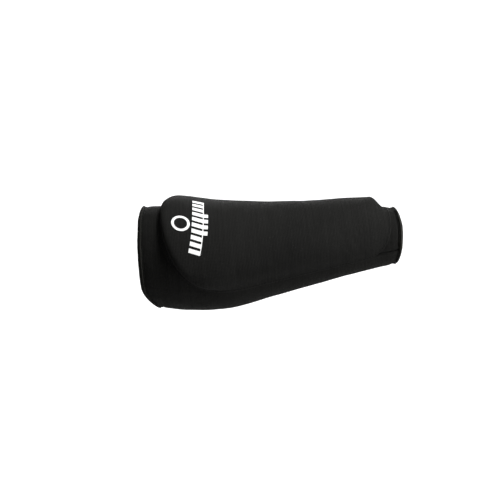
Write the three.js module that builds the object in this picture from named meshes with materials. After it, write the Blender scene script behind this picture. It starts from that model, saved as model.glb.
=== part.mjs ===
// Padded forearm guard for martial arts: a tapering stretch-knit sleeve with a foam pad sewn on its outer
// side, an elasticated hem at each end and a plain white print.
//
// Millimetres. The origin is on the forearm axis at the elbow opening. +X runs along the forearm to the
// wrist, +Z is the top of the arm, and -Y the side that the pad's middle leans towards.
//
// A place on the guard is given in sleeve coordinates (x, angle, height): the distance along the arm, the
// angle round it in degrees, from +Z towards -Y, and the height above the sleeve's outer face.

import * as THREE from "three";

// Sleeve: sections along the arm, with the outer radius and how far the centre hangs below the axis.
const SECTIONS = [
  { x: -8, radius: 51.6, drop: 0 },
  { x: 0, radius: 52.4, drop: 0.4 },
  { x: 15, radius: 54.1, drop: 2.2 },
  { x: 37, radius: 54.8, drop: 5.4 },
  { x: 80, radius: 51.4, drop: 10.4 },
  { x: 130, radius: 43.9, drop: 8.4 },
  { x: 180, radius: 37.7, drop: 4.9 },
  { x: 230, radius: 32.7, drop: 0.8 },
  { x: 266, radius: 29.0, drop: -0.6 },
];
const KNIT = 1.5; // thickness of the sleeve's knit
const PANEL_KNIT = 1.3; // thickness of the pad's cover
const GAP = 0.6; // clearance between layers that lie on each other

// Openings: the edges slant a little, and the elbow edge rises under the arm.
const ELBOW_EDGE = { x: -6.2, slant: 1.9, toward: 135, rise: 11, riseAt: 180, riseHalfWidth: 50 };
const WRIST_EDGE = { x: 260.9, slant: 3.6, toward: 70 };

// The elastics draw the sleeve in: how far at the edge, and over what length.
const ELBOW_DRAW = { depth: 2.4, reach: 13 };
const WRIST_DRAW = { depth: 3.8, reach: 12 };

// Hems: a strip folded round the sleeve's raw edge, with an elastic in the fold.
const ELBOW_HEM = { outerLeg: 5.5, innerLeg: 13 };
const WRIST_HEM = { outerLeg: 5.1, innerLeg: 14 };
const RAW_EDGE_SETBACK = 3.9; // from the opening's edge to the sleeve's raw edge
const HEM_STITCH_SETBACK = 0.9; // from the outer leg's raw edge to the stitch line
const HEM_STITCH_HEIGHT = 1.85;
const HEM_ELASTIC = { from: 2.1, to: 3.5, bottom: -1.3, top: 0.2 }; // distances from the edge, and heights
const THREAD = 0.5; // half the diagonal of a sewn thread

// Pad: its outline is a blunt arch at the elbow end, two side edges, and rounded corners at the wrist end.
const PAD = {
  middle: 42, // angle of its centre line
  halfAngle: 84, // from the centre line to a side edge
  tip: 17.8, // elbow end of the outline
  arch: 75, // length of the arch along the arm
  wristEnd: 250,
  corner: 32, // length of the wrist corners along the arm
  power: 2.5, // squareness of the arch and the corners
  height: 12, // outer face above the sleeve
  sideRadius: 38, // width of the taper along the side edges
  softensFrom: 40, // x where the elbow end's bulging edge starts to turn into the side taper
  softensTo: 95,
};
// The ends change from the top of the arm to its near side. Pairs give the two values, or the angles over
// which the change takes place.
const PAD_ENDS = {
  radius: [15, 10], // width of the bulging edge at the elbow end
  power: [2, 3.4], // and its squareness
  crispAt: [12, 50],
  wristRamp: [14, 90], // width of the ramp at the wrist end
  spreadAt: [18, 85],
};
const FLANGE = { width: 4, wristWidth: 3, angle: 4.5 }; // the cover's flat edge outside the outline
const PANEL_INSET = 1.6; // of the cover's inner face behind its outer one, at the swelling edge
const FOAM_INSET = { elbow: 5.6, angle: 20, wrist: 6.6 }; // of the foam's outline inside the pad's
const FOAM_CORNER = 60; // length of the foam's wrist corners
const FOAM_CUT = { length: 25, from: 120, to: 240 }; // how it is cut back at the near side's wrist end
const FOAM_SLACK = { top: 1.2, side: 3.2 }; // between the foam and the cover
const FOAM_EDGE = 0.3; // thickness of the foam's skived edge

// Stitching round the pad: how far outside the outline it runs at the two ends, and the thread's divisions.
const EDGE_STITCH = { tipOut: 2, wristOut: 1, archSteps: 32, cornerSteps: 24, sideSteps: 7 };

// Closing seam: runs under the arm along the pad's lower side and steps up a little before the wrist hem.
const SEAM = {
  angle: 126,
  wristAngle: 121.5,
  stepFrom: 222,
  stepTo: 242,
  from: 18,
  to: 246,
  width: 6,
  height: 1.7,
  threadWidth: 0.9,
  steps: 16,
};

// Care label: x is its end nearer the elbow, offset its distance from the closing seam's middle.
const LABEL = { x: 62, length: 24, width: 30, thickness: 0.6, offset: 4.5, rows: 2, columns: 4 };

// Print: a ring, and a row of slanted strokes on both sides of a thin line, longer ones on the elbow side.
const PRINT_FILM = 0.35;
const RING = { x: 38.8, angle: 57.6, radius: 9.2, stroke: 2.6, segments: 28 };
const STROKES = {
  fromAngle: 19,
  toAngle: 89,
  x: 61.6, // the line's elbow side, at the row's upper end
  bend: 7.3, // how far the row has turned towards the elbow at its lower end
  long: 10.5,
  short: 4.2,
  line: 0.9,
  lean: 2.2, // degrees that a long stroke slants
  count: 10,
  share: 0.62, // part of each pitch that a stroke fills
  firstShort: 3, // strokes of the row that have a short one opposite
  lastShort: 6,
};

const ROUND = 36; // divisions round the sleeve

const BLACK_KNIT = { color: 0x202022, roughness: 0.95, metalness: 0 };
const PANEL_BLACK = { color: 0x252526, roughness: 0.92, metalness: 0 };
const HEM_BLACK = { color: 0x262624, roughness: 0.9, metalness: 0 };
const THREAD_BLACK = { color: 0x151515, roughness: 0.6, metalness: 0 };
const ELASTIC_BLACK = { color: 0x1a1a1a, roughness: 0.8, metalness: 0 };
const FOAM_GREY = { color: 0x4a4a4c, roughness: 1, metalness: 0 };
const PRINT_WHITE = { color: 0xf2f2f0, roughness: 0.6, metalness: 0 };
const LABEL_WHITE = { color: 0xe6e4de, roughness: 0.8, metalness: 0 };

const radians = THREE.MathUtils.degToRad;
const { smoothstep, lerp } = THREE.MathUtils;

// A smooth curve through the sections' values of one key, by cubic Hermite pieces.
function through(key) {
  const slope = (i) => {
    const a = SECTIONS[Math.max(i - 1, 0)];
    const b = SECTIONS[Math.min(i + 1, SECTIONS.length - 1)];
    return (b[key] - a[key]) / (b.x - a.x);
  };
  return (x) => {
    let i = 0;
    while (i < SECTIONS.length - 2 && x > SECTIONS[i + 1].x) i += 1;
    const [a, b] = [SECTIONS[i], SECTIONS[i + 1]];
    const span = b.x - a.x;
    const t = (x - a.x) / span;
    const value = (1 + 2 * t) * (1 - t) ** 2 * a[key] + t * t * (3 - 2 * t) * b[key];
    return value + span * (t * (1 - t) ** 2 * slope(i) - t * t * (1 - t) * slope(i + 1));
  };
}
const radiusAt = through("radius");
const dropAt = through("drop");

function elbowEdge(angle) {
  const fromRise = THREE.MathUtils.euclideanModulo(angle - ELBOW_EDGE.riseAt + 180, 360) - 180;
  const share = Math.min(Math.abs(fromRise) / ELBOW_EDGE.riseHalfWidth, 1);
  const slant = ELBOW_EDGE.slant * Math.cos(radians(angle - ELBOW_EDGE.toward));
  return ELBOW_EDGE.x - slant + ELBOW_EDGE.rise * Math.cos((share * Math.PI) / 2) ** 2;
}

function wristEdge(angle) {
  return WRIST_EDGE.x + WRIST_EDGE.slant * Math.cos(radians(angle - WRIST_EDGE.toward));
}

// How far the elastic draws the sleeve in at a distance from its edge.
function drawnIn({ depth, reach }, distance) {
  return depth * (1 - THREE.MathUtils.clamp(distance / reach, 0, 1)) ** 2;
}

// Sleeve coordinates to a point.
function place(x, angle, height) {
  const drawn = drawnIn(ELBOW_DRAW, x - elbowEdge(angle)) + drawnIn(WRIST_DRAW, wristEdge(angle) - x);
  const radius = radiusAt(x) - drawn + height;
  return [x, -radius * Math.sin(radians(angle)), radius * Math.cos(radians(angle)) - dropAt(x)];
}

// ---- Pad outline and height ----

// How far the arch or a corner of the given length has turned back, at a share across the pad from -1 to 1.
function turnedBack(length, share) {
  return length * (1 - (1 - Math.min(Math.abs(share), 1) ** PAD.power) ** (1 / PAD.power));
}
const archStart = (share) => PAD.tip + turnedBack(PAD.arch, share);
const wristEnd = (share) => PAD.wristEnd - turnedBack(PAD.corner, share);

const ARCH_POINTS = 48;
const archOutline = Array.from({ length: ARCH_POINTS + 1 }, (_, i) => {
  const share = Math.sin(((i / ARCH_POINTS) * 2 - 1) * (Math.PI / 2));
  return { x: archStart(share), angle: PAD.middle + share * PAD.halfAngle };
});

// Distance over the surface from a place to the outline's arch and side edges, positive inside it.
function insideOutline(x, angle) {
  const mmPerDegree = radians(radiusAt(x) + PAD.height / 2);
  const across = Math.abs(angle - PAD.middle) / PAD.halfAngle;
  if (x >= PAD.tip + PAD.arch) return (1 - across) * PAD.halfAngle * mmPerDegree;
  let nearest = Infinity;
  for (let i = 0; i < ARCH_POINTS; i += 1) {
    const [a, b] = [archOutline[i], archOutline[i + 1]];
    const along = new THREE.Vector2(b.x - a.x, (b.angle - a.angle) * mmPerDegree);
    const to = new THREE.Vector2(x - a.x, (angle - a.angle) * mmPerDegree);
    const share = THREE.MathUtils.clamp(to.dot(along) / along.lengthSq(), 0, 1);
    nearest = Math.min(nearest, to.distanceTo(along.multiplyScalar(share)));
  }
  return across < 1 && x > archStart(across) ? nearest : -nearest;
}

// The pad's swell at a place, from 0 at the outline to 1 on top, with the edge moved inwards by inset.
function swell(x, angle, inset) {
  const soft = smoothstep(x, PAD.softensFrom, PAD.softensTo);
  const crisp = smoothstep(angle, ...PAD_ENDS.crispAt);
  const width = lerp(lerp(...PAD_ENDS.radius, crisp), PAD.sideRadius, soft) - inset;
  const share = THREE.MathUtils.clamp((insideOutline(x, angle) - inset) / width, 0, 1);
  const power = lerp(...PAD_ENDS.power, crisp);
  const bulge = (1 - (1 - share) ** power) ** (1 / power);
  const edge = lerp(bulge, smoothstep(share, 0, 1), soft);
  const across = (angle - PAD.middle) / PAD.halfAngle;
  const ramp = lerp(...PAD_ENDS.wristRamp, smoothstep(angle, ...PAD_ENDS.spreadAt)) - inset;
  return edge * smoothstep(wristEnd(across) - inset - x, 0, ramp);
}

const panelRise = PAD.height - PANEL_KNIT - GAP; // of the panel's top above its flange
const coverOuter = (x, angle) => GAP + PANEL_KNIT + panelRise * swell(x, angle, 0);
const coverInner = (x, angle) => GAP + panelRise * swell(x, angle, PANEL_INSET);
const foamRise = panelRise - FOAM_SLACK.top - FOAM_EDGE;
const foamOuter = (x, angle) => GAP + FOAM_EDGE + foamRise * swell(x, angle, PANEL_INSET + FOAM_SLACK.side);

// ---- Solids ----

function meshOf(name, points, faces, finish) {
  const geometry = new THREE.BufferGeometry();
  geometry.setAttribute("position", new THREE.Float32BufferAttribute(points.flat(), 3));
  geometry.setIndex(faces.flat());
  geometry.computeVertexNormals();
  const mesh = new THREE.Mesh(geometry, new THREE.MeshStandardMaterial(finish));
  mesh.name = name;
  return mesh;
}

// A closed section carried round a closed loop: sectionAt(i) gives the section's points at step i of steps.
function loopSolid(name, steps, sectionAt, finish) {
  const rings = Array.from({ length: steps }, (_, i) => sectionAt(i));
  const size = rings[0].length;
  const faces = [];
  for (let i = 0; i < steps; i += 1) {
    for (let k = 0; k < size; k += 1) {
      const [a, b] = [i * size + k, i * size + ((k + 1) % size)];
      const next = ((i + 1) % steps) * size;
      const [c, d] = [next + ((k + 1) % size), next + k];
      faces.push([a, b, c], [a, c, d]);
    }
  }
  return meshOf(name, rings.flat(), faces, finish);
}

// A plate over a grid of cells: pointAt(i, j, side) gives its corners, side 1 on the outer face and 0 on the
// inner one, and filled(i, j) says which cells it covers.
function plateSolid(name, rows, columns, pointAt, finish, filled = () => true) {
  const points = [];
  const faces = [];
  const index = new Map();
  const vertex = (i, j, side) => {
    const key = `${i} ${j} ${side}`;
    if (!index.has(key)) index.set(key, points.push(pointAt(i, j, side)) - 1);
    return index.get(key);
  };
  const quad = (a, b, c, d) => faces.push([a, b, c], [a, c, d]);
  const covered = (i, j) => i >= 0 && j >= 0 && i < rows && j < columns && filled(i, j);
  for (let i = 0; i < rows; i += 1) {
    for (let j = 0; j < columns; j += 1) {
      if (!covered(i, j)) continue;
      const corners = [[i, j], [i + 1, j], [i + 1, j + 1], [i, j + 1]];
      const outer = corners.map(([r, c]) => vertex(r, c, 1));
      const inner = corners.map(([r, c]) => vertex(r, c, 0));
      quad(outer[0], outer[3], outer[2], outer[1]);
      quad(inner[0], inner[1], inner[2], inner[3]);
      const neighbours = [[i, j - 1], [i + 1, j], [i, j + 1], [i - 1, j]];
      neighbours.forEach(([r, c], side) => {
        const next = (side + 1) % 4;
        if (!covered(r, c)) quad(outer[side], outer[next], inner[next], inner[side]);
      });
    }
  }
  return meshOf(name, points, faces, finish);
}

// A thread of square section, on edge, along a closed route of places.
function threadLoop(name, route, finish) {
  return loopSolid(
    name,
    route.length,
    (i) => {
      const { x, angle, height } = route[i];
      const before = route[(i + route.length - 1) % route.length];
      const after = route[(i + 1) % route.length];
      const mmPerDegree = radians(radiusAt(x) + height);
      const run = new THREE.Vector2(after.x - before.x, (after.angle - before.angle) * mmPerDegree);
      run.setLength(THREAD);
      return [
        place(x, angle, height + THREAD),
        place(x - run.y, angle + run.x / mmPerDegree, height),
        place(x, angle, height - THREAD),
        place(x + run.y, angle - run.x / mmPerDegree, height),
      ];
    },
    finish,
  );
}

// ---- Sleeve and hems ----

const SLEEVE_STEPS = 19;

// The distances 0 to 1 in equal steps.
const stepsOf = (count) => Array.from({ length: count + 1 }, (_, i) => i / count);

function baseSleeve() {
  const section = (i) => {
    const angle = -(i * 360) / ROUND;
    const from = elbowEdge(angle) + RAW_EDGE_SETBACK;
    const to = wristEdge(angle) - RAW_EDGE_SETBACK;
    const outer = stepsOf(SLEEVE_STEPS).map((share) => place(lerp(from, to, share), angle, 0));
    const inner = stepsOf(SLEEVE_STEPS).map((share) => place(lerp(from, to, share), angle, -KNIT));
    return [...outer, ...inner.reverse()];
  };
  return loopSolid("base_sleeve", ROUND, section, BLACK_KNIT);
}

// Points of a folded hem, as [distance in from the opening's edge, height]: along the outer leg's top to the
// fold, round it, in along the inner leg, and back inside the fold.
function hemSection({ outerLeg, innerLeg }) {
  const stitch = outerLeg - HEM_STITCH_SETBACK;
  const innerFace = -KNIT - GAP;
  return [
    [outerLeg, 1.5],
    [stitch, 1.0],
    [stitch - 0.8, 1.7],
    [2.3, 2.5],
    [0.7, 1.2],
    [0, -0.8],
    [0.7, -2.7],
    [2.6, -3.5],
    [innerLeg, innerFace - 1.2],
    [innerLeg, innerFace],
    [2.8, innerFace - 0.1],
    [1.3, -0.8],
    [2.0, 0.9],
    [outerLeg, GAP],
  ];
}

function hemRing(name, edge, inward, hem) {
  const section = hemSection(hem).reverse();
  const ringAt = (i) => {
    const angle = (-inward * i * 360) / ROUND;
    return section.map(([distance, height]) => place(edge(angle) + inward * distance, angle, height));
  };
  return loopSolid(name, ROUND, ringAt, HEM_BLACK);
}

function hemElastic(name, edge, inward) {
  const { from, to, bottom, top } = HEM_ELASTIC;
  const section = [[from, top], [to, top], [to, bottom], [from, bottom]];
  const ringAt = (i) => {
    const angle = (-inward * i * 360) / ROUND;
    return section.map(([distance, height]) => place(edge(angle) + inward * distance, angle, height));
  };
  return loopSolid(name, ROUND, ringAt, ELASTIC_BLACK);
}

function hemThread(name, edge, inward, hem) {
  const setback = hem.outerLeg - HEM_STITCH_SETBACK;
  const route = Array.from({ length: ROUND }, (_, i) => {
    const angle = (i * 360) / ROUND;
    return { x: edge(angle) + inward * setback, angle, height: HEM_STITCH_HEIGHT };
  });
  return threadLoop(name, route, THREAD_BLACK);
}

// ---- Pad ----

// Angles and distances of the pad's grid lines, close together where its edge bulges.
const acrossOffsets = [0, 0.4, 1.3, 2.8, 4.8, 7.4, 10.8, 15, 21, 29, 38];
const endOffsets = [0, 4, 5, 6.8, 9.5, 13.5, 20];
const wristOffsets = [78, 60, 46, 34, 24, 18, 13, 9, 4, 0];
const MIDDLE_COLUMNS = 18;
const MIDDLE_ROWS = 9;

function padGrid(halfAngle, tip, end, corner) {
  const left = acrossOffsets.map((offset) => -halfAngle + offset);
  const middle = stepsOf(MIDDLE_COLUMNS).map((step) => lerp(left.at(-1), -left.at(-1), step));
  const columns = [...left, ...middle.slice(1, -1), ...left.map((angle) => -angle).reverse()];
  const arch = PAD.tip + PAD.arch - tip;
  const xAt = (i, j) => {
    const share = columns[j] / halfAngle;
    const from = tip + turnedBack(arch, share);
    const to = end - turnedBack(corner, share);
    if (i < endOffsets.length) return from + endOffsets[i];
    const last = endOffsets.length + MIDDLE_ROWS - 1;
    if (i >= last) return to - wristOffsets[i - last];
    return lerp(from + endOffsets.at(-1), to - wristOffsets[0], (i - endOffsets.length + 1) / MIDDLE_ROWS);
  };
  return {
    rows: endOffsets.length + MIDDLE_ROWS + wristOffsets.length - 2,
    columns: columns.length - 1,
    at: (i, j) => [xAt(i, j), PAD.middle + columns[j]],
  };
}

function padCover() {
  const [tip, end] = [PAD.tip - FLANGE.width, PAD.wristEnd + FLANGE.wristWidth];
  const grid = padGrid(PAD.halfAngle + FLANGE.angle, tip, end, PAD.corner + FLANGE.wristWidth);
  const corner = (i, j, side) => {
    const [x, angle] = grid.at(i, j);
    return place(x, angle, side ? coverOuter(x, angle) : coverInner(x, angle));
  };
  return plateSolid("pad_cover", grid.rows, grid.columns, corner, PANEL_BLACK);
}

function foamPad() {
  const [tip, end] = [PAD.tip + FOAM_INSET.elbow, PAD.wristEnd - FOAM_INSET.wrist];
  const grid = padGrid(PAD.halfAngle - FOAM_INSET.angle, tip, end, FOAM_CORNER);
  const corner = (i, j, side) => {
    const [along, angle] = grid.at(i, j);
    const cut = smoothstep(angle, ...PAD_ENDS.spreadAt) * smoothstep(along, FOAM_CUT.from, FOAM_CUT.to);
    const x = along - FOAM_CUT.length * cut;
    return place(x, angle, side ? foamOuter(x, angle) : GAP);
  };
  return plateSolid("foam_pad", grid.rows, grid.columns, corner, FOAM_GREY);
}

// Stitching on the flange, all the way round the pad.
function padEdgeThread() {
  const { tipOut, wristOut, archSteps, cornerSteps, sideSteps } = EDGE_STITCH;
  const height = GAP + PANEL_KNIT + GAP / 2 + THREAD;
  const halfAngle = PAD.halfAngle + FLANGE.angle / 2;
  const point = (share, x) => ({ x, angle: PAD.middle + share * halfAngle, height });
  const across = (count) => stepsOf(count).map((step) => Math.sin((step * 2 - 1) * (Math.PI / 2)));
  const archX = (share) => PAD.tip - tipOut + turnedBack(PAD.arch + tipOut, share);
  const cornerX = (share) => PAD.wristEnd + wristOut - turnedBack(PAD.corner + wristOut, share);
  const arch = across(archSteps).map((share) => point(share, archX(share)));
  const corners = across(cornerSteps).map((share) => point(share, cornerX(share)));
  const side = (share) => {
    const between = stepsOf(sideSteps).slice(1, -1);
    return between.map((step) => point(share, lerp(PAD.tip + PAD.arch, PAD.wristEnd - PAD.corner, step)));
  };
  const route = [...arch, ...side(1), ...corners.reverse(), ...side(-1).reverse()];
  return threadLoop("pad_edge_thread", route, THREAD_BLACK);
}

// ---- Closing seam and label, inside the sleeve ----

const seamAngle = (x) => lerp(SEAM.angle, SEAM.wristAngle, smoothstep(x, SEAM.stepFrom, SEAM.stepTo));
const mmToDegrees = (mm, x) => THREE.MathUtils.radToDeg(mm / radiusAt(x));

// A strip on the sleeve's inner face along the closing seam, from one offset in mm to another.
function seamStrip(name, fromOffset, toOffset, finish) {
  const corner = (i, j, side) => {
    const x = lerp(SEAM.from, SEAM.to, i / SEAM.steps);
    const angle = seamAngle(x) + mmToDegrees(j ? toOffset : fromOffset, x);
    return place(x, angle, -KNIT - GAP - (side ? 0 : SEAM.height));
  };
  return plateSolid(name, SEAM.steps, 1, corner, finish);
}

function careLabel() {
  const corner = (i, j, side) => {
    const x = LABEL.x + (i * LABEL.length) / LABEL.rows;
    const angle = seamAngle(x) + mmToDegrees(LABEL.offset + (j * LABEL.width) / LABEL.columns, x);
    return place(x, angle, -KNIT - GAP - (side ? 0 : LABEL.thickness));
  };
  return plateSolid("care_label", LABEL.rows, LABEL.columns, corner, LABEL_WHITE);
}

// ---- Print ----

// A place on the pad's outer face, raised by a height.
const onPad = (x, angle, height) => place(x, angle, coverOuter(x, angle) + height);
const padMmToDegrees = (mm) => THREE.MathUtils.radToDeg(mm / (radiusAt(RING.x) + PAD.height));
const filmHeight = (side) => GAP + (side ? PRINT_FILM : 0);

function printRing() {
  const section = (i) => {
    const turn = (i * 2 * Math.PI) / RING.segments;
    const at = (radius, side) =>
      onPad(
        RING.x + radius * Math.cos(turn),
        RING.angle + padMmToDegrees(radius * Math.sin(turn)),
        filmHeight(side),
      );
    const inner = RING.radius - RING.stroke;
    return [at(inner, 0), at(RING.radius, 0), at(RING.radius, 1), at(inner, 1)];
  };
  return loopSolid("print_ring", RING.segments, section, PRINT_WHITE);
}

function printStrokes() {
  const edges = [-STROKES.long, -STROKES.long / 2, 0, STROKES.line, STROKES.line + STROKES.short];
  const corner = (i, j, side) => {
    const pitch = (STROKES.toAngle - STROKES.fromAngle) / STROKES.count;
    const angle = STROKES.fromAngle + pitch * (Math.floor(j / 2) + (j % 2 ? STROKES.share : 0));
    const down = (angle - STROKES.fromAngle) / (STROKES.toAngle - STROKES.fromAngle);
    const lean = edges[i] < 0 ? (edges[i] / STROKES.long) * STROKES.lean : 0;
    return onPad(STROKES.x - STROKES.bend * down ** 3 + edges[i], angle + lean, filmHeight(side));
  };
  const filled = (i, j) => {
    const stroke = j / 2;
    const short = stroke >= STROKES.firstShort && stroke <= STROKES.lastShort;
    return i === 2 || (j % 2 === 0 && (i < 2 || short));
  };
  return plateSolid("print_strokes", edges.length - 1, 2 * STROKES.count - 1, corner, PRINT_WHITE, filled);
}

const seamEdge = -SEAM.width / 2 - GAP; // where the overlock thread lies along the seam allowance

const forearmGuard = new THREE.Group();
forearmGuard.name = "forearm_guard";
forearmGuard.add(
  baseSleeve(),
  padCover(),
  foamPad(),
  padEdgeThread(),
  hemRing("elbow_hem", elbowEdge, 1, ELBOW_HEM),
  hemElastic("elbow_elastic", elbowEdge, 1),
  hemThread("elbow_hem_thread", elbowEdge, 1, ELBOW_HEM),
  hemRing("wrist_hem", wristEdge, -1, WRIST_HEM),
  hemElastic("wrist_elastic", wristEdge, -1),
  hemThread("wrist_hem_thread", wristEdge, -1, WRIST_HEM),
  seamStrip("closing_seam", -SEAM.width / 2, SEAM.width / 2, BLACK_KNIT),
  seamStrip("closing_seam_thread", seamEdge - SEAM.threadWidth, seamEdge, THREAD_BLACK),
  careLabel(),
  printRing(),
  printStrokes(),
);

export default forearmGuard;
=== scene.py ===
import math
from functools import partial

import bmesh
import bpy
import numpy as np
from mathutils import Matrix, Vector
from mathutils.bvhtree import BVHTree


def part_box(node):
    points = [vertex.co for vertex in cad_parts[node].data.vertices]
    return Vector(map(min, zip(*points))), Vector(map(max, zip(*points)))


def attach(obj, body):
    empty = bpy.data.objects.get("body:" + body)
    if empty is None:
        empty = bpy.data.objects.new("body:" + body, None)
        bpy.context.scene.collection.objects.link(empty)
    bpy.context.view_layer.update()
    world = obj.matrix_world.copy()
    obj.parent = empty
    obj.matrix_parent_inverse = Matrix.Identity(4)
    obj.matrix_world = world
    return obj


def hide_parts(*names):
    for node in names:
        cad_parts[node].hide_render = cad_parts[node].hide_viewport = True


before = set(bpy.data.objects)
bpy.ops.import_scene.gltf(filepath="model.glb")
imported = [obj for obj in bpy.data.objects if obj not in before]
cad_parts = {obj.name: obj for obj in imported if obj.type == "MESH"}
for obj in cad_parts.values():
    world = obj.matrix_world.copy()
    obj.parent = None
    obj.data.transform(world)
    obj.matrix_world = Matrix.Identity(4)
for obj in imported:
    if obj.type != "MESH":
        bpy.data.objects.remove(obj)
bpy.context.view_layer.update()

# ---- Driving dimensions ----

# Sleeve sections: x, outer radius, how far the centre hangs below the axis.
SECTIONS = np.array([
    (-0.008, 0.0516, 0.0),
    (0.000, 0.0524, 0.0004),
    (0.015, 0.0541, 0.0022),
    (0.037, 0.0548, 0.0054),
    (0.080, 0.0514, 0.0104),
    (0.130, 0.0439, 0.0084),
    (0.180, 0.0377, 0.0049),
    (0.230, 0.0327, 0.0008),
    (0.266, 0.0290, -0.0006),
])
KNIT = 0.0013
PANEL_KNIT = 0.0013
GAP = 0.0005

# Openings: where their edges lie, how they slant, and how the knit is drawn in at them.
ELBOW_EDGE = {"x": -0.0062, "slant": 0.0019, "toward": 135, "rise": 0.011, "at": 180, "half": 50}
WRIST_EDGE = {"x": 0.2609, "slant": 0.0036, "toward": 70}
ELBOW_DRAW = {"depth": 0.0024, "reach": 0.013}
WRIST_DRAW = {"depth": 0.0038, "reach": 0.012}
RAW_EDGE_SETBACK = 0.0039

# Pad: the x of its ends comes from the CAD cover, whose flat flange lies outside the outline. Pairs give
# the values at the top of the arm and at its near side, or the range over which a change takes place.
FLANGE = {"tip": 0.004, "wrist": 0.003, "angle": 4.5}
FOAM_INSET = {"tip": 0.0056, "wrist": 0.0066, "angle": 20}
FOAM_CUT = {"length": 0.025, "from_to": (0.12, 0.24)}
PRESSED = {"inside": 0.014, "outside": 0.0032, "height": 0.00035}
PAD = {
    "middle": 42,
    "half": 84,
    "tip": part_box("pad_cover")[0].x + FLANGE["tip"],
    "wrist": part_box("pad_cover")[1].x - FLANGE["wrist"],
    "arch": 0.075,
    "corner": 0.032,
    "power": 2.5,
    "height": 0.012,
    "end_radius": (0.015, 0.010),
    "end_power": (2, 3.4),
    "crisp": (12, 50),
    "side_radius": 0.038,
    "ramp": (0.014, 0.090),
    "spread": (18, 85),
    "softens": (0.040, 0.095),
}

# Closing seam, under the arm.
SEAM = {"angle": 126, "wrist_angle": 121.5, "step": (0.222, 0.242), "width": 0.006, "height": 0.0016}

rng = np.random.default_rng(7)


# ---- The surface ----


def through(column):
    """A smooth curve through the sections' values, by cubic Hermite pieces."""
    xs, ys = SECTIONS[:, 0], SECTIONS[:, column]
    slopes = np.empty_like(ys)
    slopes[1:-1] = (ys[2:] - ys[:-2]) / (xs[2:] - xs[:-2])
    slopes[0] = (ys[1] - ys[0]) / (xs[1] - xs[0])
    slopes[-1] = (ys[-1] - ys[-2]) / (xs[-1] - xs[-2])

    def at(x):
        i = np.clip(np.searchsorted(xs, x) - 1, 0, len(xs) - 2)
        span = xs[i + 1] - xs[i]
        t = (x - xs[i]) / span
        value = (1 + 2 * t) * (1 - t) ** 2 * ys[i] + t * t * (3 - 2 * t) * ys[i + 1]
        return value + span * (t * (1 - t) ** 2 * slopes[i] - t * t * (1 - t) * slopes[i + 1])

    return at


radius_at = through(1)
drop_at = through(2)


def smoothstep(x, low, high):
    t = np.clip((x - low) / (high - low), 0, 1)
    return t * t * (3 - 2 * t)


def bell(distance, half):
    """A smooth hump, 1 at distance 0."""
    return np.exp(-((distance / half) ** 2))


def elbow_edge(angle):
    from_rise = np.abs((angle - ELBOW_EDGE["at"] + 180) % 360 - 180)
    share = np.minimum(from_rise / ELBOW_EDGE["half"], 1)
    slant = ELBOW_EDGE["slant"] * np.cos(np.radians(angle - ELBOW_EDGE["toward"]))
    return ELBOW_EDGE["x"] - slant + ELBOW_EDGE["rise"] * np.cos(share * math.pi / 2) ** 2


def wrist_edge(angle):
    return WRIST_EDGE["x"] + WRIST_EDGE["slant"] * np.cos(np.radians(angle - WRIST_EDGE["toward"]))


def drawn_in(draw, distance):
    return draw["depth"] * (1 - np.clip(distance / draw["reach"], 0, 1)) ** 2


def place(x, angle, height):
    """Sleeve coordinates to points, over arrays of any one shape."""
    x, angle, height = np.broadcast_arrays(x, angle, height)
    drawn = drawn_in(ELBOW_DRAW, x - elbow_edge(angle)) + drawn_in(WRIST_DRAW, wrist_edge(angle) - x)
    radius = radius_at(x) - drawn + height
    turn = np.radians(angle)
    return np.stack([x, -radius * np.sin(turn), radius * np.cos(turn) - drop_at(x)], -1)


def waves(u, v, size, seed, octaves=3):
    """Smooth noise of about -1 to 1 over two lengths, in waves of the given size and smaller."""
    draw = np.random.default_rng(seed)
    total = np.zeros(np.broadcast(u, v).shape)
    for octave in range(octaves):
        for _ in range(7):
            turn, phase = draw.uniform(0, 2 * math.pi, 2)
            rate = draw.uniform(0.7, 1.3) * 2 * math.pi * 1.9**octave / size
            run = u * math.cos(turn) + v * math.sin(turn)
            total += np.sin(run * rate + phase) / 2.6 / 1.7**octave
    return total / 1.9


def turned_back(length, share):
    return length * (1 - (1 - np.minimum(np.abs(share), 1) ** PAD["power"]) ** (1 / PAD["power"]))


ARCH_STEPS = 96
ARCH_SHARES = np.sin(np.linspace(-1, 1, ARCH_STEPS + 1) * math.pi / 2)
ARCH_X = PAD["tip"] + turned_back(PAD["arch"], ARCH_SHARES)
ARCH_ANGLE = PAD["middle"] + ARCH_SHARES * PAD["half"]


def inside_outline(x, angle):
    """Distance from places to the outline's arch and side edges, positive inside it."""
    per_degree = np.radians(radius_at(x) + PAD["height"] / 2)
    across = np.abs(angle - PAD["middle"]) / PAD["half"]
    side = (1 - across) * PAD["half"] * per_degree
    nearest = np.full(x.shape, np.inf)
    for a, b in zip(range(ARCH_STEPS), range(1, ARCH_STEPS + 1)):
        ax, ay = ARCH_X[b] - ARCH_X[a], (ARCH_ANGLE[b] - ARCH_ANGLE[a]) * per_degree
        tx, ty = x - ARCH_X[a], (angle - ARCH_ANGLE[a]) * per_degree
        share = np.clip((tx * ax + ty * ay) / (ax * ax + ay * ay), 0, 1)
        nearest = np.minimum(nearest, np.hypot(tx - share * ax, ty - share * ay))
    within = (across < 1) & (x > PAD["tip"] + turned_back(PAD["arch"], across))
    return np.where(x >= PAD["tip"] + PAD["arch"], side, np.where(within, nearest, -nearest))


def between(ends, share):
    return ends[0] + (ends[1] - ends[0]) * share


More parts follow.
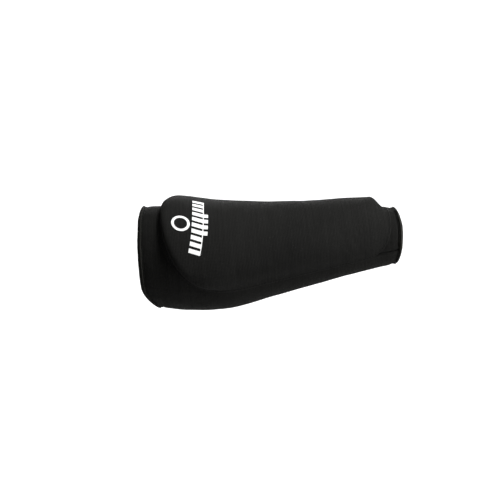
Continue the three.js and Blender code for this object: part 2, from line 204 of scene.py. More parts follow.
def swell(x, angle, inset):
    """The pad's swell, from 0 at the outline to 1 on top, with the edge moved in by inset. The elbow end's
    edge is crisper on the near side. The side edges and the near side's wrist end taper away softly."""
    soft = smoothstep(x, *PAD["softens"])
    crisp = smoothstep(angle, *PAD["crisp"])
    width = between((between(PAD["end_radius"], crisp), PAD["side_radius"]), soft) - inset
    share = np.clip((inside_outline(x, angle) - inset) / width, 0, 1)
    power = between(PAD["end_power"], crisp)
    bulge = (1 - (1 - share) ** power) ** (1 / power)
    edge = between((bulge, smoothstep(share, 0, 1)), soft)
    across = (angle - PAD["middle"]) / PAD["half"]
    end = PAD["wrist"] - turned_back(PAD["corner"], across) - inset - x
    ramp = between(PAD["ramp"], smoothstep(angle, *PAD["spread"])) - inset
    return edge * smoothstep(end, 0, ramp)


PANEL_RISE = PAD["height"] - PANEL_KNIT - GAP


def cover_height(x, angle):
    """Height of the cover's outer face: its sewn edge is pressed flat, over a longer way at the sides."""
    inside = PRESSED["inside"] * smoothstep(x, *PAD["softens"])
    pressed = smoothstep(outside_by(x, angle), -inside, PRESSED["outside"])
    edge = (GAP + PANEL_KNIT) * (1 - pressed) + PRESSED["height"] * pressed
    return edge + PANEL_RISE * swell(x, angle, 0)


def outside_by(x, angle):
    """How far a place lies outside the pad's outline, along the sides, the arch or the wrist end."""
    across = (angle - PAD["middle"]) / PAD["half"]
    return np.maximum(-inside_outline(x, angle), x - PAD["wrist"] + turned_back(PAD["corner"], across))


def where(points):
    """Sleeve coordinates of points."""
    x = points[..., 0]
    low = points[..., 2] + drop_at(x)
    angle = np.degrees(np.arctan2(-points[..., 1], low))
    drawn = drawn_in(ELBOW_DRAW, x - elbow_edge(angle)) + drawn_in(WRIST_DRAW, wrist_edge(angle) - x)
    return x, angle, np.hypot(points[..., 1], low) - radius_at(x) + drawn


def seam_angle(x):
    return SEAM["angle"] + (SEAM["wrist_angle"] - SEAM["angle"]) * smoothstep(x, *SEAM["step"])


def degrees_of(length, x):
    return np.degrees(length / radius_at(x))


# ---- Meshes ----


def mesh_of(name, points, faces, uvs=None, material=None, smooth=True):
    """A mesh object. uvs gives each face corner's (along, around) in metres, or each point's."""
    mesh = bpy.data.meshes.new(name)
    mesh.from_pydata([tuple(p) for p in points], [], [tuple(int(i) for i in f) for f in faces])
    if uvs is not None:
        corners = np.array([i for f in faces for i in f])
        uvs = np.asarray(uvs)
        values = uvs[corners] if len(uvs) == len(points) else uvs
        layer = mesh.uv_layers.new(name="cloth")
        layer.data.foreach_set("uv", values.astype(np.float32).ravel())
    mesh.validate()
    for polygon in mesh.polygons:
        polygon.use_smooth = smooth
    obj = bpy.data.objects.new(name, mesh)
    bpy.context.scene.collection.objects.link(obj)
    if material:
        mesh.materials.append(material)
    return obj


def grid_faces(rows, columns, wrap_rows=False, wrap_columns=False):
    """Quads over a grid of points in row-major order, and each corner's unwrapped (row, column)."""
    down = np.arange(rows if wrap_rows else rows - 1)
    across = np.arange(columns if wrap_columns else columns - 1)
    i, j = (index.ravel() for index in np.meshgrid(down, across, indexing="ij"))
    corners = [(i, j), (i + 1, j), (i + 1, j + 1), (i, j + 1)]
    faces = np.stack([(a % rows) * columns + (b % columns) for a, b in corners], -1)
    places = np.stack([np.stack(c, -1) for c in corners], 1)
    return faces, places


def loop_solid(name, points, material, uv_along, uv_around):
    """A closed section (second axis) carried round a closed loop (first axis). The uv lists are one
    longer."""
    steps, size = points.shape[:2]
    faces, places = grid_faces(steps, size, True, True)
    uvs = np.stack([uv_along[places[..., 1]], uv_around[places[..., 0]]], -1).reshape(-1, 2)
    return face_out(mesh_of(name, points.reshape(-1, 3), faces, uvs, material))


def face_out(obj):
    """Turns the faces outward."""
    work = bmesh.new()
    work.from_mesh(obj.data)
    if work.calc_volume(signed=True) < 0:
        bmesh.ops.reverse_faces(work, faces=work.faces)
    work.to_mesh(obj.data)
    work.free()
    return obj


def closed_curve(points, count):
    """A closed smooth curve through points, by Catmull-Rom pieces."""
    points = np.asarray(points, float)
    steps = np.linspace(0, len(points), count, endpoint=False)
    i, t = steps.astype(int), (steps % 1)[:, None]
    a, b, c, d = (points[(i + k) % len(points)] for k in (-1, 0, 1, 2))
    square, cube = 2 * a - 5 * b + 4 * c - d, 3 * b - a - 3 * c + d
    return 0.5 * (2 * b + (c - a) * t + square * t**2 + cube * t**3)


def thick_sheet(name, work, thickness, floor, material):
    """A closed cloth solid from an open bmesh that is its outer face. The inner face lies a thickness
    behind, and nowhere lower than floor above the sleeve."""
    work.normal_update()
    outer = list(work.verts)
    rim = [e for e in work.edges if e.is_boundary]
    layer = work.loops.layers.uv.active
    behind = np.array([v.co - v.normal * thickness for v in outer])
    x, angle, height = where(behind)
    behind = place(x, angle, np.maximum(height, floor))
    copies = {v: work.verts.new(co) for v, co in zip(outer, behind)}
    for face in list(work.faces):
        new = work.faces.new([copies[v] for v in reversed(face.verts)])
        new.smooth = True
        for old, twin in zip(reversed(face.loops), new.loops):
            twin[layer].uv = old[layer].uv
    for edge in rim:
        loop = edge.link_loops[0]
        a, b = loop.vert, loop.link_loop_next.vert
        new = work.faces.new([b, a, copies[a], copies[b]])
        new.smooth = True
        for corner, uv in zip(new.loops, (loop.link_loop_next, loop, loop, loop.link_loop_next)):
            corner[layer].uv = uv[layer].uv
    mesh = bpy.data.meshes.new(name)
    work.to_mesh(mesh)
    work.free()
    obj = bpy.data.objects.new(name, mesh)
    bpy.context.scene.collection.objects.link(obj)
    mesh.materials.append(material)
    return face_out(obj)


def strand(path, radius, sides):
    """Points and faces of a closed round strand along a path of points."""
    path = np.asarray(path, float)
    run = np.gradient(path, axis=0)
    run /= np.linalg.norm(run, axis=1, keepdims=True)
    up = np.cross(run, np.roll(run, 1, axis=1) + np.array([0.3, 0.5, 0.8]))
    for k in range(1, len(up)):
        up[k] = up[k - 1] - run[k] * np.dot(up[k - 1], run[k])
        up[k] /= np.linalg.norm(up[k])
    up[0] /= np.linalg.norm(up[0])
    side = np.cross(run, up)
    turn = np.linspace(0, 2 * math.pi, sides, endpoint=False)
    taper = np.ones(len(path))
    taper[0] = taper[-1] = 0.45
    ring = up[:, None] * np.cos(turn)[None, :, None] + side[:, None] * np.sin(turn)[None, :, None]
    points = (path[:, None] + ring * (radius * taper)[:, None, None]).reshape(-1, 3)
    faces, _ = grid_faces(len(path), sides, False, True)
    last = (len(path) - 1) * sides
    caps = [list(reversed(range(sides))), [last + k for k in range(sides)]]
    return points, [list(f)[::-1] for f in faces] + caps


def strands(name, paths, radius, material, sides=6):
    """One piece of many separate strands."""
    points, faces, start = [], [], 0
    for path in paths:
        more, quads = strand(path, radius, sides)
        points.append(more)
        faces += [[start + i for i in f] for f in quads]
        start += len(more)
    points = np.concatenate(points)
    return face_out(mesh_of(name, points, faces, np.zeros((len(points), 2)), material))


# A stitch: its share of the pitch shows, it is sunk into the cloth at its ends and lifted at its middle.
STITCH = {"pitch": 0.0032, "share": 0.86, "radius": 0.00033, "sink": 0.0006, "lift": 0.00015, "points": 9}
UNEVEN_STITCH = {"lean": 0.00012, "height": 0.00005}


def along_route(route):
    """Cuts a closed route of (x, angle, height) into stitches, each a few places from start to end."""
    turns = round((route[-1, 1] - route[0, 1]) / 360)
    route = np.vstack([route, route[:1] + [[0, 360 * turns, 0]]])
    points = place(*route.T)
    length = np.concatenate([[0], np.cumsum(np.linalg.norm(np.diff(points, axis=0), axis=1))])
    count = round(length[-1] / STITCH["pitch"])
    half = STITCH["share"] / 2
    stitches = []
    for k in range(count):
        at = (k + np.linspace(0.5 - half, 0.5 + half, STITCH["points"])) * length[-1] / count
        stitches.append(np.stack([np.interp(at, length, route[:, c]) for c in range(3)], -1))
    return stitches


def stitched(name, route, material):
    """A row of stitches along a route, each dipping into the cloth at its ends, with small uneven leans."""
    paths = []
    run = np.linspace(-1, 1, STITCH["points"])
    dip = np.abs(run) ** 3 * STITCH["sink"]
    for places in along_route(route):
        lean = rng.uniform(-UNEVEN_STITCH["lean"], UNEVEN_STITCH["lean"]) * run
        uneven = rng.uniform(-UNEVEN_STITCH["height"], UNEVEN_STITCH["height"])
        height = places[:, 2] + STITCH["lift"] - dip + uneven
        paths.append(place(places[:, 0] + lean, places[:, 1], height))
    return strands(name, paths, STITCH["radius"], material)


# ---- Materials ----


def new_material(name):
    material = bpy.data.materials.new(name)
    material.use_nodes = True
    nodes = material.node_tree.nodes
    return material, nodes, material.node_tree.links, nodes["Principled BSDF"]


def math_node(nodes, links, operation, a, b=None, clamp=False):
    node = nodes.new("ShaderNodeMath")
    node.operation = operation
    node.use_clamp = clamp
    for socket, value in zip(node.inputs, (a, b)):
        if value is None:
            continue
        if isinstance(value, (int, float)):
            socket.default_value = value
        else:
            links.new(value, socket)
    return node.outputs[0]


def set_inputs(node, values):
    for name, value in values.items():
        node.inputs[name].default_value = value


def noise_node(nodes, links, vector, scale, detail=3.0, roughness=0.55):
    node = nodes.new("ShaderNodeTexNoise")
    set_inputs(node, {"Scale": scale, "Detail": detail, "Roughness": roughness})
    links.new(vector, node.inputs["Vector"])
    return node.outputs["Fac"]


def bump_from(nodes, links, shader, height, strength, distance):
    bump = nodes.new("ShaderNodeBump")
    set_inputs(bump, {"Strength": strength, "Distance": distance})
    links.new(height, bump.inputs["Height"])
    links.new(bump.outputs[0], shader.inputs["Normal"])


def color_from(nodes, links, shader, color, tone):
    """The shader's base colour is a colour times a tone."""
    mix = nodes.new("ShaderNodeVectorMath")
    mix.operation = "SCALE"
    mix.inputs[0].default_value = color
    links.new(tone, mix.inputs["Scale"])
    links.new(mix.outputs[0], shader.inputs["Base Color"])


WALE = 0.0011
# Half width of the painted highlight line on the hem's bead.
PAINTED_HIGHLIGHT_HALF = 0.0012


def knit(name, color, pitch=0.0015, rib=0.5, painted_highlight=0):
    """Matte weft knit: ribs that run round the arm, each of small slanted loops, with uneven dye, lint, wear
    and painted light: painted shade between the ribs and a painted highlight on convex places. A paler line
    of painted highlight can run where the cloth's first coordinate is 0."""
    material, nodes, links, shader = new_material(name)
    calc = partial(math_node, nodes, links)
    uv = nodes.new("ShaderNodeUVMap")
    uv.uv_map = "cloth"
    split = nodes.new("ShaderNodeSeparateXYZ")
    links.new(uv.outputs["UV"], split.inputs[0])
    place_in = nodes.new("ShaderNodeTexCoord").outputs["Object"]
    drift = noise_node(nodes, links, place_in, 45, 2)
    along = calc("ADD", split.outputs[0], calc("MULTIPLY", drift, pitch * 0.8))
    ribs = calc("SINE", calc("MULTIPLY", along, 2 * math.pi / pitch))
    slant = calc("MULTIPLY", calc("ABSOLUTE", ribs), 2.4)
    around = calc("MULTIPLY", split.outputs[1], 2 * math.pi / WALE)
    loops = calc("SINE", calc("ADD", around, slant))
    fuzz = noise_node(nodes, links, place_in, 2600, 2, 0.7)
    height = calc("ADD", calc("MULTIPLY", ribs, rib), calc("MULTIPLY", loops, (1 - rib) * 0.7))
    height = calc("ADD", height, calc("MULTIPLY", fuzz, 0.5))
    bump_from(nodes, links, shader, height, 0.75, 0.00028)

    # Uneven dye; painted shade between the ribs; convex places paler, partly by wear and partly as painted
    # highlight.
    cloudy = noise_node(nodes, links, place_in, 14, 4)
    streaks = nodes.new("ShaderNodeMapping")
    streaks.inputs["Scale"].default_value = (900, 14, 14)
    links.new(place_in, streaks.inputs["Vector"])
    streak = noise_node(nodes, links, streaks.outputs[0], 1, 2)
    geometry = nodes.new("ShaderNodeNewGeometry")
    wear_and_highlight = calc("MULTIPLY", calc("SUBTRACT", geometry.outputs["Pointiness"], 0.5), 9, True)
    lint = calc("GREATER_THAN", noise_node(nodes, links, place_in, 620, 0), 0.79)
    tone = calc("MULTIPLY", calc("SUBTRACT", cloudy, 0.5), 0.55)
    tone = calc("ADD", tone, calc("MULTIPLY", calc("SUBTRACT", streak, 0.5), 0.8))
    # The ribs' height darkens the knit between them as painted shade; convex places are paler by wear and
    # painted highlight.
    for part, share in ((height, 0.16), (wear_and_highlight, 0.15), (lint, 0.6)):
        tone = calc("ADD", tone, calc("MULTIPLY", part, share))
    tone = calc("ADD", tone, 1.0)
    # A painted highlight line, paler, along the crest of the hem's bead.
    if painted_highlight:
        line = nodes.new("ShaderNodeMapRange")
        line.interpolation_type = "SMOOTHSTEP"
        set_inputs(line, {"From Max": PAINTED_HIGHLIGHT_HALF, "To Min": 1 + painted_highlight, "To Max": 1})
        links.new(calc("ABSOLUTE", split.outputs[0]), line.inputs["Value"])
        tone = calc("MULTIPLY", tone, line.outputs[0])
    color_from(nodes, links, shader, color, tone)
    set_inputs(shader, {"Roughness": 0.88, "Specular IOR Level": 0.04})
    set_inputs(shader, {"Sheen Weight": 0.02, "Sheen Roughness": 0.45, "Sheen Tint": (0.5, 0.5, 0.48, 1)})
    return material


def plain_cloth(name, color, scale, roughness, sheen=0.1, specular=0.15, vary=0.4, depth=0.0001):
    """Yarn, foam or film: a fine uneven surface with a little colour variation."""
    material, nodes, links, shader = new_material(name)
    calc = partial(math_node, nodes, links)
    place_in = nodes.new("ShaderNodeTexCoord").outputs["Object"]
    grain = noise_node(nodes, links, place_in, scale, 3, 0.6)
    bump_from(nodes, links, shader, grain, 0.6, depth)
    cloudy = noise_node(nodes, links, place_in, scale / 12, 3)
    tone = calc("ADD", calc("MULTIPLY", calc("SUBTRACT", cloudy, 0.5), vary), 1.0)
    color_from(nodes, links, shader, color, tone)
    set_inputs(shader, {"Roughness": roughness, "Specular IOR Level": specular, "Sheen Weight": sheen})
    return material


SLEEVE_KNIT = knit("sleeve_knit", (0.0085, 0.0085, 0.0080))
PANEL_CLOTH = knit("panel_knit", (0.0105, 0.0105, 0.0100))
# The hem knit carries a painted highlight line on its bead's crest.
HEM_KNIT = knit("hem_knit", (0.0095, 0.0095, 0.0085), pitch=0.0012, rib=0.35, painted_highlight=1.4)
THREAD = plain_cloth("sewing_thread", (0.0045, 0.0045, 0.0045), 4000, 0.7, sheen=0, specular=0.08)
ELASTIC = plain_cloth("elastic", (0.014, 0.014, 0.014), 2500, 0.7)
FOAM = plain_cloth("foam", (0.07, 0.07, 0.075), 1500, 0.95)
PRINT = plain_cloth(
    "print_white", (0.84, 0.84, 0.83), 1800, 0.55, sheen=0, specular=0.3, vary=0.1, depth=0.00003
)
SATIN = plain_cloth("label_white", (0.72, 0.71, 0.67), 3000, 0.45, specular=0.4, vary=0.1)


# ---- Sleeve ----

SLEEVE_CLOTH = {"length": 0.262, "radius": 0.044}
DRAWN_FOLDS = {"count": 23, "half": 0.007, "elbow": (0.006, 0.00012), "wrist": (0.0105, 0.00016)}
GROOVE = {"half": 0.0009, "depth": 0.00105}
RIDGE = {"at": 0.0026, "half": 0.0016, "height": 0.00038}


def sleeve():
    """The knit tube, from raw edge to raw edge, with the closing seam's groove and slight tension folds."""
    near = np.arange(-9, 9.01, 0.3)
    far = np.linspace(9, 351, 184)[1:-1]
    angles = SEAM["angle"] + np.concatenate([near, far])
    shares = np.linspace(0, 1, 168)
    angle, share = np.meshgrid(angles, shares, indexing="ij")
    start = elbow_edge(angle) + RAW_EDGE_SETBACK
    x = start + (wrist_edge(angle) - RAW_EDGE_SETBACK - start) * share
    arc = np.radians(angle) * radius_at(x)
    inward = np.minimum(x - start, wrist_edge(angle) - RAW_EDGE_SETBACK - x)
    free = smoothstep(inward, 0.002, 0.02)
    ripple = 0.00022 * waves(x, arc, 0.05, 3) * free
    # Drawn folds where the hems gather the knit.
    folds = np.sin(np.radians(angle) * DRAWN_FOLDS["count"] + 1.3 * waves(arc, x * 0.2, 0.04, 5))
    for distance, (at, height) in (
        (x - start, DRAWN_FOLDS["elbow"]),
        (wrist_edge(angle) - x, DRAWN_FOLDS["wrist"]),
    ):
        ripple += folds * height * bell(distance - at, DRAWN_FOLDS["half"])
    off_seam = np.radians(angle - seam_angle(x)) * radius_at(x)
    strong = 0.12 + 0.88 * smoothstep(x, 0.205, 0.235)
    groove = GROOVE["depth"] * bell(off_seam, GROOVE["half"])
    ridge = RIDGE["height"] * bell(np.abs(off_seam) - RIDGE["at"], RIDGE["half"])
    ripple += (ridge - groove) * strong
    outer = place(x, angle, ripple)
    inner = place(x, angle, ripple * 0.35 - KNIT)
    points = np.concatenate([outer, inner[:, ::-1]], 1)
    along = np.concatenate([shares, shares[::-1], shares[:1]]) * SLEEVE_CLOTH["length"]
    around = np.radians(np.append(angles, angles[0] + 360)) * SLEEVE_CLOTH["radius"]
    return loop_solid("sleeve_tube", points, SLEEVE_KNIT, along, around)


# ---- Hems ----

# Each hem's last entry places the painted highlight line along its section, on the bead's crest.
HEMS = {
    "elbow": {"edge": elbow_edge, "inward": 1, "outer": 0.0055, "inner": 0.013, "painted_highlight": 0.0021},
    "wrist": {"edge": wrist_edge, "inward": -1, "outer": 0.0050, "inner": 0.014, "painted_highlight": 0.0044},
}
STITCH_SETBACK = 0.0009


def hem_section(hem):
    """Points of the folded strip, as (distance in from the opening's edge, height), in millimetres."""
    outer, inner = hem["outer"] * 1000, hem["inner"] * 1000
    stitch = outer - STITCH_SETBACK * 1000
    face = -KNIT * 1000 - GAP * 1000 - 0.15
    bead = stitch / 4.6
    return np.array([
        [outer, 0.7],
        [outer - 0.25, 1.0],
        [stitch, 0.45],
        [stitch - 0.6 * bead, 1.5],
        [stitch - 1.3 * bead, 2.55],
        [2.2 * bead, 2.45],
        [1.3 * bead, 1.55],
        [0.5 * bead, 0.4],
        [0.05, -0.8],
        [0.8, -2.8],
        [2.6, -3.5],
        [7.0, face - 1.2],
        [inner - 0.4, face - 1.15],
        [inner, face - 0.6],
        [inner - 0.4, face],
        [7.0, face - 0.02],
        [2.9, face - 0.1],
        [1.35, -0.8],
        [2.0, 0.7],
        [2.9, 0.4],
        [outer - 0.25, 0.12],
    ]) / 1000


def hem_points(hem, steps, samples):
    section = closed_curve(hem_section(hem), samples)
    angle = np.linspace(0, 360, steps, endpoint=False)
    edge = hem["edge"](angle)
    grid_angle = np.broadcast_to(angle[:, None], (steps, samples))
    distance = np.broadcast_to(section[None, :, 0], (steps, samples))
    arc = np.radians(grid_angle) * radius_at(edge)[:, None]
    count = round(2 * math.pi * radius_at(hem["edge"](0.0)) / STITCH["pitch"])
    pucker = np.sin(np.radians(grid_angle) * count) * 0.00009
    near_stitch = bell(distance - hem["outer"] + STITCH_SETBACK, 0.002)
    uneven = 0.00016 * waves(arc, distance, 0.022, 11) + pucker * near_stitch
    outside = smoothstep(section[None, :, 1] + 0.0 * grid_angle, -0.001, 0.001)
    height = section[None, :, 1] + uneven * outside
    lean = 0.0002 * waves(arc, arc * 0, 0.03, 13)
    x = edge[:, None] + hem["inward"] * (distance + lean)
    return place(x, grid_angle, height), section


def hem_piece(name, hem):
    steps, samples = 420, 60
    points, section = hem_points(hem, steps, samples)
    pieces = np.linalg.norm(np.diff(section, axis=0, append=section[:1]), axis=1)
    length = np.concatenate([[0], np.cumsum(pieces)])
    around = np.linspace(0, 2 * math.pi, steps + 1) * radius_at(hem["edge"](0.0))
    # The cloth's first coordinate is shifted so that its 0, where the painted highlight line runs, falls on
    # the bead's crest.
    return loop_solid(name, points, HEM_KNIT, length - hem["painted_highlight"], around)


# The elastic's section in millimetres, as for the hem's.
BAND_SECTION = np.array([
    [2.3, 0.1],
    [2.9, 0.15],
    [3.5, 0.1],
    [3.6, -0.5],
    [3.5, -1.1],
    [2.9, -1.15],
    [2.3, -1.1],
    [2.2, -0.5],
])


def hem_band(name, hem):
    """The braided elastic in the fold: a flat band with slight ribs across it."""
    steps, samples = 300, 32
    section = closed_curve(BAND_SECTION / 1000, samples)
    angle = np.linspace(0, 360, steps, endpoint=False)[:, None] + np.zeros((1, samples))
    braid = 0.00006 * np.sin(np.radians(angle) * 150) * np.sign(section[None, :, 1] + 0.0005)
    x = hem["edge"](angle) + hem["inward"] * section[None, :, 0]
    points = place(x, angle, section[None, :, 1] + braid)
    along, around = np.linspace(0, 0.007, samples + 1), np.linspace(0, 0.3, steps + 1)
    return loop_solid(name, points, ELASTIC, along, around)


def hem_route(hem, height):
    angle = np.linspace(0, 360, 361)[:-1]
    x = hem["edge"](angle) + hem["inward"] * (hem["outer"] - STITCH_SETBACK)
    return np.stack([x, angle, np.full_like(x, height)], -1)


# ---- Pad ----

SPINE = (PAD["tip"] + 0.048, PAD["wrist"] - 0.036)
RING_STEPS = 2 * 150
COVER_RADIUS = 0.05


def outline(margin, out):
    """The pad's outline as (x, angle) round it, moved out by a share of a margin."""
    half = PAD["half"] + margin["angle"] * out
    tip = PAD["tip"] - margin["tip"] * out
    wrist = PAD["wrist"] + margin["wrist"] * out
    turning, along = 50, 28
    side_share = np.sin(np.linspace(0, 1, turning) * math.pi / 2)
    arch_x = tip + turned_back(PAD["arch"] + PAD["tip"] - tip, side_share)
    corner_x = wrist - turned_back(PAD["corner"] + wrist - PAD["wrist"], side_share)
    straight = np.linspace(PAD["tip"] + PAD["arch"], PAD["wrist"] - PAD["corner"], along + 2)[1:-1]
    x = np.concatenate([arch_x, straight, corner_x[::-1]])
    share = np.concatenate([side_share, np.ones(along), side_share[::-1]])
    dense = np.stack([x, np.radians(share * half) * radius_at(x)], -1)
    length = np.concatenate([[0], np.cumsum(np.linalg.norm(np.diff(dense, axis=0), axis=1))])
    at = np.linspace(0, length[-1], RING_STEPS // 2 + 1)
    x, share = np.interp(at, length, x), np.interp(at, length, share)
    x, share = np.append(x, x[-2:0:-1]), np.append(share, -share[-2:0:-1])
    return x, PAD["middle"] + share * half


def pad_rings(margin, out, depths):
    """Rings of (x, angle) from the outline in to the spine. Depths are the outer rings' distances in."""
    x, angle = outline(margin, out)
    low, high = x.min(), x.max()
    spine_x = SPINE[0] + (x - low) / (high - low) * (SPINE[1] - SPINE[0])
    spine_angle = np.full_like(x, PAD["middle"])
    span = np.hypot(spine_x - x, np.radians(spine_angle - angle) * (radius_at(x) + PAD["height"] / 2))
    first = depths[-1]
    shares = [depth / span for depth in depths]
    inner = 26
    for k in range(1, inner + 1):
        t = k / inner
        shares.append(first / span * (1 - t) + t)
    shares = np.array(shares)
    return x + (spine_x - x) * shares, angle + (spine_angle - angle) * shares


COVER_DEPTHS = np.concatenate([
    np.linspace(0, 0.0035, 5),
    0.0035 + 0.0135 * (1 - np.cos(np.linspace(0, 1, 17)[1:] * math.pi / 2)),
])


def ring_mesh(x, angle, points):
    """A bmesh over rings of points, joined along the spine."""
    rings, steps = x.shape
    faces, _ = grid_faces(rings, steps, False, True)
    work = bmesh.new()
    layer = work.loops.layers.uv.new("cloth")
    verts = [work.verts.new(p) for p in points.reshape(-1, 3)]
    uvs = np.stack([x, np.radians(angle) * COVER_RADIUS], -1).reshape(-1, 2)
    for face in faces:
        new = work.faces.new([verts[i] for i in face])
        new.smooth = True
        for loop, i in zip(new.loops, face):
            loop[layer].uv = uvs[i]
    bmesh.ops.remove_doubles(work, verts=verts[(rings - 1) * steps:], dist=0.0001)
    bmesh.ops.dissolve_degenerate(work, edges=work.edges, dist=0.00002)
    work.normal_update()
    middle = Vector((0.12, 0, -0.006))
    outward = sum(f.normal.dot(f.calc_center_median() - middle) for f in work.faces)
    if outward < 0:
        bmesh.ops.reverse_faces(work, faces=work.faces)
    return work


def puffed(work, cap=0.0018):
    """Lets the cover swell under pressure from the foam, held at its sewn edge. Each point moves by cap at
    most."""
    mesh = bpy.data.meshes.new("cover_cloth")
    work.to_mesh(mesh)
    obj = bpy.data.objects.new("cover_cloth", mesh)
    bpy.context.scene.collection.objects.link(obj)
    rest = np.array([v.co for v in mesh.vertices])
    angle = np.degrees(np.arctan2(-rest[:, 1], rest[:, 2] + drop_at(rest[:, 0])))
    inside = inside_outline(rest[:, 0], angle)
    end = PAD["wrist"] - turned_back(PAD["corner"], (angle - PAD["middle"]) / PAD["half"]) - rest[:, 0]
    free = smoothstep(np.minimum(inside, end), 0.0005, 0.006)
    group = obj.vertex_groups.new(name="sewn")
    for k in range(len(rest)):
        if free[k] < 1:
            group.add([k], float(1 - free[k]), "REPLACE")
    cloth = obj.modifiers.new("Cloth", "CLOTH")
    settings = cloth.settings
    settings.quality = 4
    settings.mass = 0.25
    settings.tension_stiffness = 40
    settings.compression_stiffness = 20
    settings.shear_stiffness = 8
    settings.bending_stiffness = 0.6
    settings.use_pressure = True
    settings.uniform_pressure_force = 4
    settings.vertex_group_mass = "sewn"
    settings.effector_weights.gravity = 0
    cloth.collision_settings.use_self_collision = False
    scene = bpy.context.scene
    for step in range(1, 21):
        scene.frame_set(step)
    graph = bpy.context.evaluated_depsgraph_get()
    moved = np.array([v.co for v in obj.evaluated_get(graph).data.vertices])
    scene.frame_set(1)
    bpy.data.objects.remove(obj)
    delta = moved - rest
    size = np.linalg.norm(delta, axis=1, keepdims=True)
    delta *= np.where(size > cap, cap / np.maximum(size, 1e-9), 1) * free[:, None]
    return rest + delta


PUCKERS = {"count": 74, "height": 0.00016}
UNEVEN_FOAM = {"size": 0.06, "height": 0.00028}


def pad_panel():
    x, angle = pad_rings(FLANGE, 1, COVER_DEPTHS)
    arc = np.radians(angle) * radius_at(x)
    height = cover_height(x, angle)
    risen = swell(x, angle, 0)
    # Puckers along the sewn edge, and a slightly uneven foam under the cloth.
    route = np.linspace(0, 2 * math.pi, RING_STEPS, endpoint=False)[None, :]
    pucker = np.sin(route * PUCKERS["count"] + 2.2 * np.sin(route * 9)) * bell(risen - 0.25, 0.2)
    uneven = waves(x, arc, UNEVEN_FOAM["size"], 21) * smoothstep(risen, 0.1, 0.8)
    height = height + PUCKERS["height"] * pucker + UNEVEN_FOAM["height"] * uneven
    work = ring_mesh(x, angle, place(x, angle, height))
    for vert, co in zip(work.verts, puffed(work)):
        vert.co = co
    return thick_sheet("pad_panel", work, PANEL_KNIT - 0.0001, 0.0001, PANEL_CLOTH)


FOAM_DEPTHS = np.concatenate([
    [0, 0.0006, 0.0014],
    0.0014 + 0.012 * (1 - np.cos(np.linspace(0, 1, 13)[1:] * math.pi / 2)),
])


def foam_slab():
    """The foam under the cover: the cover's form, lower and further in, with a flat face on the sleeve."""
    x, angle = pad_rings(FOAM_INSET, -1, FOAM_DEPTHS)
    cut = smoothstep(angle, *PAD["spread"]) * smoothstep(x, *FOAM_CUT["from_to"])
    x = x - FOAM_CUT["length"] * cut
    top = GAP + 0.0003 + (PANEL_RISE - 0.0010) * swell(x, angle, 0.0048)
    outer = ring_mesh(x, angle, place(x, angle, top))
    under = ring_mesh(x, angle, place(x, angle, np.full_like(x, GAP)))
    bmesh.ops.reverse_faces(under, faces=under.faces)
    mesh = bpy.data.meshes.new("foam_under")
    under.to_mesh(mesh)
    under.free()
    outer.from_mesh(mesh)
    rim = [e for e in outer.edges if e.is_boundary]
    bmesh.ops.bridge_loops(outer, edges=rim)
    bmesh.ops.recalc_face_normals(outer, faces=outer.faces)
    mesh = bpy.data.meshes.new("foam_slab")
    outer.to_mesh(mesh)
    outer.free()
    obj = bpy.data.objects.new("foam_slab", mesh)
    bpy.context.scene.collection.objects.link(obj)
    mesh.materials.append(FOAM)
    return face_out(obj)


# ---- Closing seam and label, inside the sleeve ----

SEAM_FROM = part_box("closing_seam")[0].x
SEAM_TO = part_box("closing_seam")[1].x
INNER = -KNIT - 0.0004
OVERLOCK_PITCH = 0.0026

# The allowance's section, in shares of half its width and of its height.
ALLOWANCE_SECTION = np.array([
    [-1, -0.7],
    [-0.9, -0.1],
    [0, 0],
    [0.9, 0],
    [1, -0.45],
    [0.85, -0.9],
    [0, -1],
    [-0.7, -0.95],
])


def seam_allowance():
    """The two raw edges pressed to one side, slightly wavy, their edge pinched by the overlock."""
    steps, samples = 260, 32
    x = np.linspace(SEAM_FROM, SEAM_TO, steps)[:, None]
    half, deep = SEAM["width"] / 2, SEAM["height"]
    section = closed_curve(ALLOWANCE_SECTION * (half, deep), samples)
    pinch = np.sin(x * 2 * math.pi / OVERLOCK_PITCH)
    offset = section[None, :, 0] * (1 + 0.05 * pinch)
    depth = section[None, :, 1] + 0.00012 * pinch * (section[None, :, 1] < -0.5 * deep)
    angle = seam_angle(x) + degrees_of(offset, x)
    points = place(x + 0 * offset, angle, INNER + depth)
    faces, _ = grid_faces(steps, samples, False, True)
    last = (steps - 1) * samples
    caps = [list(range(samples)), [last + k for k in reversed(range(samples))]]
    faces = [list(f) for f in faces] + caps
    uvs = np.stack([x + 0 * offset, offset], -1).reshape(-1, 2)
    return face_out(mesh_of("seam_allowance", points.reshape(-1, 3), faces, uvs, SLEEVE_KNIT))


def overlock():
    """Loops of thread over the allowance's edge, and the needle line beside them."""
    paths = []
    half, deep = SEAM["width"] / 2, SEAM["height"]
    t = np.linspace(0, 1, 12)
    for k in range(int((SEAM_TO - SEAM_FROM - 0.004) / OVERLOCK_PITCH)):
        start = SEAM_FROM + 0.002 + k * OVERLOCK_PITCH
        over = INNER - deep - 0.00035 + 0.0009 * np.abs(2 * t - 1) ** 4
        back = INNER - deep - 0.00045
        needle = INNER - 0.0002 + np.abs(2 * t - 1) ** 3 * 0.0004
        for share, offset, height in (
            (0.9 * t, -half * 1.02 + 2 * half * 0.96 * t, over),
            (0.9 - 0.8 * t, half * 0.96 - 2 * half * 0.5 * t, back),
            (0.05 + 0.85 * t, -half - 0.0011, needle),
        ):
            x = start + OVERLOCK_PITCH * share
            paths.append(place(x, seam_angle(x) + degrees_of(offset, x), height))
    return strands("overlock_thread", paths, 0.00023, THREAD, 5)


LABEL = {"reach": 0.029, "thick": 0.00022, "fold": 0.0003, "curl": 0.35, "offset": 0.0046, "steps": 25}


